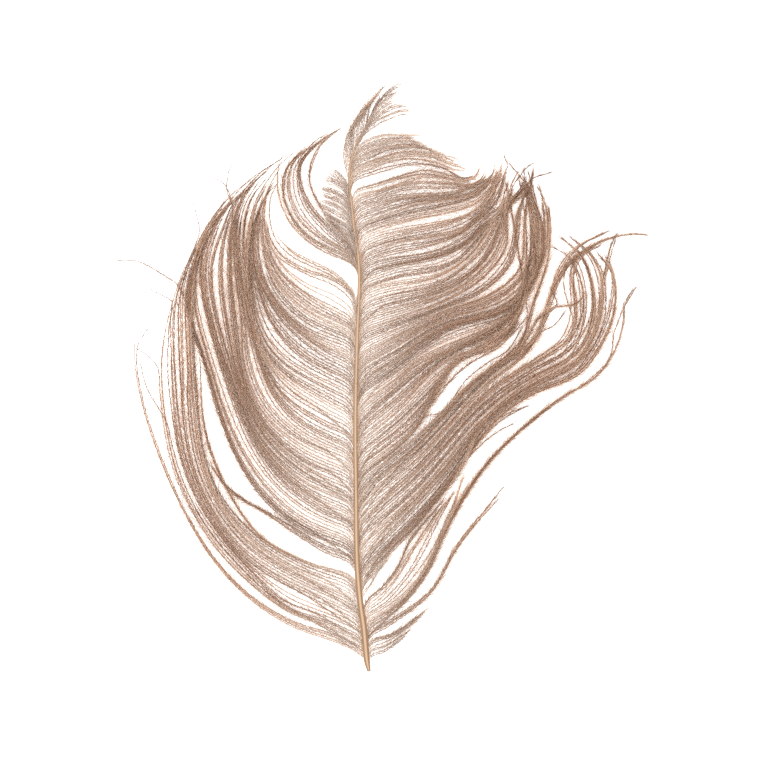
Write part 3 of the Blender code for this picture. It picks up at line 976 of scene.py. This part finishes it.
def hollow_quill(piece):
    """Insets the cut end and pushes it in."""
    bm = bmesh.new()
    bm.from_mesh(piece.data)
    low = min(corner.co.y for corner in bm.verts)
    ends = [face for face in bm.faces if all(corner.co.y < low + 0.6 * UNIT for corner in face.verts)]
    facing = [face for face in ends if face.normal.y < -0.9]
    whole = bmesh.ops.dissolve_faces(bm, faces=facing)["region"]
    bmesh.ops.inset_region(bm, faces=whole, thickness=BORE_WALL * UNIT, use_even_offset=True)
    bmesh.ops.translate(bm, verts=whole[0].verts, vec=(0, BORE_DEPTH * UNIT, 0))
    bmesh.ops.triangulate(bm, faces=[face for face in bm.faces if len(face.verts) > 4])
    bm.to_mesh(piece.data)
    bm.free()


shaft = add_shaft()
hollow_quill(shaft)
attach(shaft, "root")
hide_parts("shaft")
print("shaft:", len(shaft.data.polygons), "faces")

# %% [markdown]
# ## Writing materials as sums
#
# A material is a formula, so it reads best as one. A Reading stands for a number that varies over a
# surface, and Python's own operators make the Math nodes. A Finish makes every other node with one method,
# which sets what the node is before it joins its sockets.

# %% Readings and finishes
class Reading:
    """One socket of a material, used in sums like a number."""

    def __init__(self, finish, socket):
        self.finish, self.socket = finish, socket

    def maths(self, operation, first, second):
        return self.finish.node("ShaderNodeMath", {"operation": operation}, {0: first, 1: second})

    def __add__(self, other):
        return self.maths("ADD", self, other)

    def __sub__(self, other):
        return self.maths("SUBTRACT", self, other)

    def __rsub__(self, other):
        return self.maths("SUBTRACT", other, self)

    def __mul__(self, other):
        return self.maths("MULTIPLY", self, other)

    def __truediv__(self, other):
        return self.maths("DIVIDE", self, other)

    def __gt__(self, other):
        return self.maths("GREATER_THAN", self, other)

    def __abs__(self):
        return self.maths("ABSOLUTE", self, 0.0)

    __radd__, __rmul__ = __add__, __mul__


class Finish:
    """A material, and the one way that its nodes are made."""

    def __init__(self, name, **plain):
        self.material = bpy.data.materials.new(name)
        self.material.use_nodes = True
        self.nodes = self.material.node_tree.nodes
        self.shader = self.nodes["Principled BSDF"]
        self.join(self.shader, plain)

    def join(self, node, sockets):
        for key, value in sockets.items():
            place = node.inputs[key if isinstance(key, int) else key.replace("_", " ")]
            if isinstance(value, Reading):
                self.material.node_tree.links.new(value.socket, place)
            else:
                place.default_value = value

    def node(self, kind, settings=(), sockets=(), output=0):
        made = self.nodes.new(kind)
        settings = dict(settings)
        stops = settings.pop("stops", ())
        for key, value in settings.items():
            setattr(made, key, value)
        for number, (place, colour) in enumerate(stops):
            ramp = made.color_ramp.elements
            stop = ramp[number] if number < len(ramp) else ramp.new(place)
            stop.position, stop.color = place, colour
        self.join(made, dict(sockets))
        return Reading(self, made.outputs[output])

    def mix(self, share, first, second, way="MIX"):
        """Two colours mixed by a share from 0 to 1."""
        settings = {"data_type": "RGBA", "blend_type": way}
        return self.node("ShaderNodeMix", settings, {0: share, 6: first, 7: second}, output=2)

    def ramp(self, share, *stops):
        """A colour read from a ramp, at a share from 0 to 1."""
        return self.node("ShaderNodeValToRGB", {"stops": stops}, {0: share})

    def on_map(self):
        """The place on the piece's own map, and its two numbers."""
        place = self.node("ShaderNodeUVMap", {"uv_map": MAP})
        return place, *[self.node("ShaderNodeSeparateXYZ", {}, {0: place}, output=axis) for axis in (0, 1)]


def paint(red, green, blue):
    """A colour as a paint chart gives it, 0 to 255, turned into the amounts of light that a shader wants."""
    parts = [value / 255 for value in (red, green, blue)]
    return (*[v / 12.92 if v <= 0.04045 else ((v + 0.055) / 1.055) ** 2.4 for v in parts], 1.0)


# %% [markdown]
# ## Plumage
#
# The feather is a dusty rose-beige. A barb is pale where it leaves the shaft, turns to a warm brown and ends
# in a dark tip. The barbules are painted paler all the way, as painted light for the light that passes
# through them and to lift the shade they cast on one another. Each fibre has its own tone, and a little
# noise along it keeps the colour uneven, as it is on anything that grew. Keratin fibres are matt with a soft
# sheen.

# %% Plumage material
BARB_COLOURS = (
    (0.0, paint(228, 212, 197)),
    (0.15, paint(194, 164, 138)),
    (0.45, paint(174, 128, 96)),
    (0.8, paint(138, 92, 64)),
    (1.0, paint(74, 50, 38)),
)
# barbules: painted paler than their own colour, as painted light for the light that passes through them and to
# lift the shade they cast on one another
BARBULE_COLOURS = (
    (0.0, paint(240, 234, 229)),
    (0.3, paint(244, 231, 220)),
    (0.8, paint(247, 222, 200)),
    (1.0, paint(172, 132, 104)),
)


def plumage():
    """Barbs and barbules: a ramp along each, and a tone for each fibre."""
    finish = Finish("plumage", Sheen_Weight=0.05, Sheen_Roughness=0.4, Specular_IOR_Level=0.2)
    place, along, row = finish.on_map()
    downy = row > 0.5
    tone = (row - downy * DOWN_BAND[0] - (1 - downy) * BARB_BAND[0]) / (DOWN_BAND[1] - DOWN_BAND[0])
    base = finish.mix(downy, finish.ramp(along, *BARB_COLOURS), finish.ramp(along, *BARBULE_COLOURS))
    uneven = finish.node("ShaderNodeTexNoise", {}, {"Vector": place, "Scale": 38.0, "Detail": 3.0})
    light = 0.71 + 0.6 * tone + 0.3 * (uneven - 0.5)
    warm = finish.mix(tone, paint(255, 236, 222), paint(255, 255, 255))
    shaded = finish.mix(1.0, base, light, "MULTIPLY")
    finish.join(finish.shader, {"Base Color": finish.mix(1.0, shaded, warm, "MULTIPLY")})
    finish.join(finish.shader, {"Roughness": 0.72 - 0.18 * uneven})
    return finish.material


barb_finish = plumage()
for piece in bpy.data.objects:
    if piece.name.endswith("_barbs") or "_barbules" in piece.name:
        piece.data.materials.append(barb_finish)

# %% [markdown]
# ## Horn
#
# The shaft is the colour of honey, with a painted highlight that makes it palest along the middle, and a
# brown line down each side where the barbs grow out. Fine streaks run along it. It is the one part with a
# gloss.

# %% Horn material
def horn():
    """The shaft: a ramp across it with a painted highlight along the middle, and streaks along it."""
    finish = Finish("horn", Coat_Weight=0.15, Coat_Roughness=0.3)
    place, along, around = finish.on_map()
    stretched = finish.node("ShaderNodeMapping", {}, {"Vector": place, "Scale": (9.0, 26.0, 1.0)})
    streaks = finish.node("ShaderNodeTexNoise", {}, {"Vector": stretched, "Scale": 2.0, "Detail": 4.0})
    edge = abs(around - 0.5) * 2
    # the pale stops in the middle of this ramp are a painted highlight; the brown stop is the line where the
    # barbs grow out
    across = finish.ramp(
        edge + 0.25 * (streaks - 0.5),
        (0.0, paint(232, 198, 160)),
        (0.25, paint(218, 180, 142)),
        (0.52, paint(150, 110, 80)),
        (0.75, paint(176, 140, 110)),
        (1.0, paint(206, 178, 154)),
    )
    faded = finish.mix(along * 0.5, across, paint(214, 184, 156))
    finish.join(finish.shader, {"Base Color": faded, "Roughness": 0.38 + 0.25 * streaks})
    bump = finish.node("ShaderNodeBump", {}, {"Height": streaks, "Strength": 0.2, "Distance": 0.0001})
    finish.join(finish.shader, {"Normal": bump})
    return finish.material


shaft.data.materials.append(horn())

# %% [markdown]
# ## Table and light
#
# The feather lies on a white table, lit so evenly that the table itself glows and shadows all but vanish.
# A large soft lamp from the upper left gives the barbs their shape.

# %% Table
TABLE_SIZE = 60.0  # metres, so that its edge is never near the feather
TABLE_GAP = 0.0002  # metres below the feather


def table_finish():
    """White, with a grain too faint to notice, and a glow that fills the shadows."""
    finish = Finish("white_table", Roughness=0.9)
    place = finish.node("ShaderNodeTexCoord", {}, {}, output=3)
    grain = finish.node("ShaderNodeTexNoise", {}, {"Vector": place, "Scale": 3.0})
    colour = finish.mix(grain, paint(250, 250, 250), paint(255, 255, 255))
    finish.join(finish.shader, {"Base Color": colour, "Emission Color": colour, "Emission Strength": 0.8})
    return finish.material


bm = bmesh.new()
bmesh.ops.create_grid(bm, x_segments=1, y_segments=1, size=TABLE_SIZE / 2)
bmesh.ops.translate(bm, verts=bm.verts[:], vec=(0, 0, cad_low.z - TABLE_GAP))
table_mesh = bpy.data.meshes.new("table")
bm.to_mesh(table_mesh)
bm.free()
table_mesh.materials.append(table_finish())
table = bpy.data.objects.new("table", table_mesh)
bpy.context.collection.objects.link(table)
table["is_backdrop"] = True

# %% Light
scene = bpy.context.scene
scene.view_settings.view_transform = "Standard"
scene.cycles.use_denoising = False
world = bpy.data.worlds.new("white_room")
scene.world = world
world.use_nodes = True
world.node_tree.nodes["Background"].inputs["Color"].default_value = (1.0, 1.0, 1.0, 1.0)
world.node_tree.nodes["Background"].inputs["Strength"].default_value = 0.85


def soft_lamp(name, place, size, power):
    """A square lamp that faces the feather."""
    lamp = bpy.data.lights.new(name, "AREA")
    lamp.size, lamp.energy = size, power
    holder = bpy.data.objects.new(name, lamp)
    holder.location = place
    holder.rotation_euler = (-holder.location).to_track_quat("-Z", "Y").to_euler()
    bpy.context.collection.objects.link(holder)


soft_lamp("key_lamp", (-0.7, 0.7, 1.5), 0.9, 12.0)

# %% [markdown]
# ## Camera
#
# The camera looks straight down with the tip of the feather upwards. A long lens from nearly two metres
# keeps the raised ends from spreading.

# %% Camera
VIEW_IN_UNITS = 391.1  # width of what the camera sees, at the table
CENTRE = (-1.54, -0.26)  # the point it looks at, in units
LENS, SENSOR = 200.0, 36.0  # millimetres

eye = bpy.data.cameras.new("camera")
eye.lens, eye.sensor_width = LENS, SENSOR
camera = bpy.data.objects.new("camera", eye)
camera.location = (CENTRE[0] * UNIT, CENTRE[1] * UNIT, VIEW_IN_UNITS * UNIT * LENS / SENSOR)
bpy.context.collection.objects.link(camera)
scene.camera = camera
print("camera", round(camera.location.z, 3), "m above the table")

# %% [markdown]
# ## Sizes
#
# The finished feather has to stay within about a centimetre of the frame's box, so that it still fits where
# the plain model does. Both boxes are printed.

# %% Sizes, and the end
low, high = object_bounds()
print("box", [round(v, 4) for v in high - low])
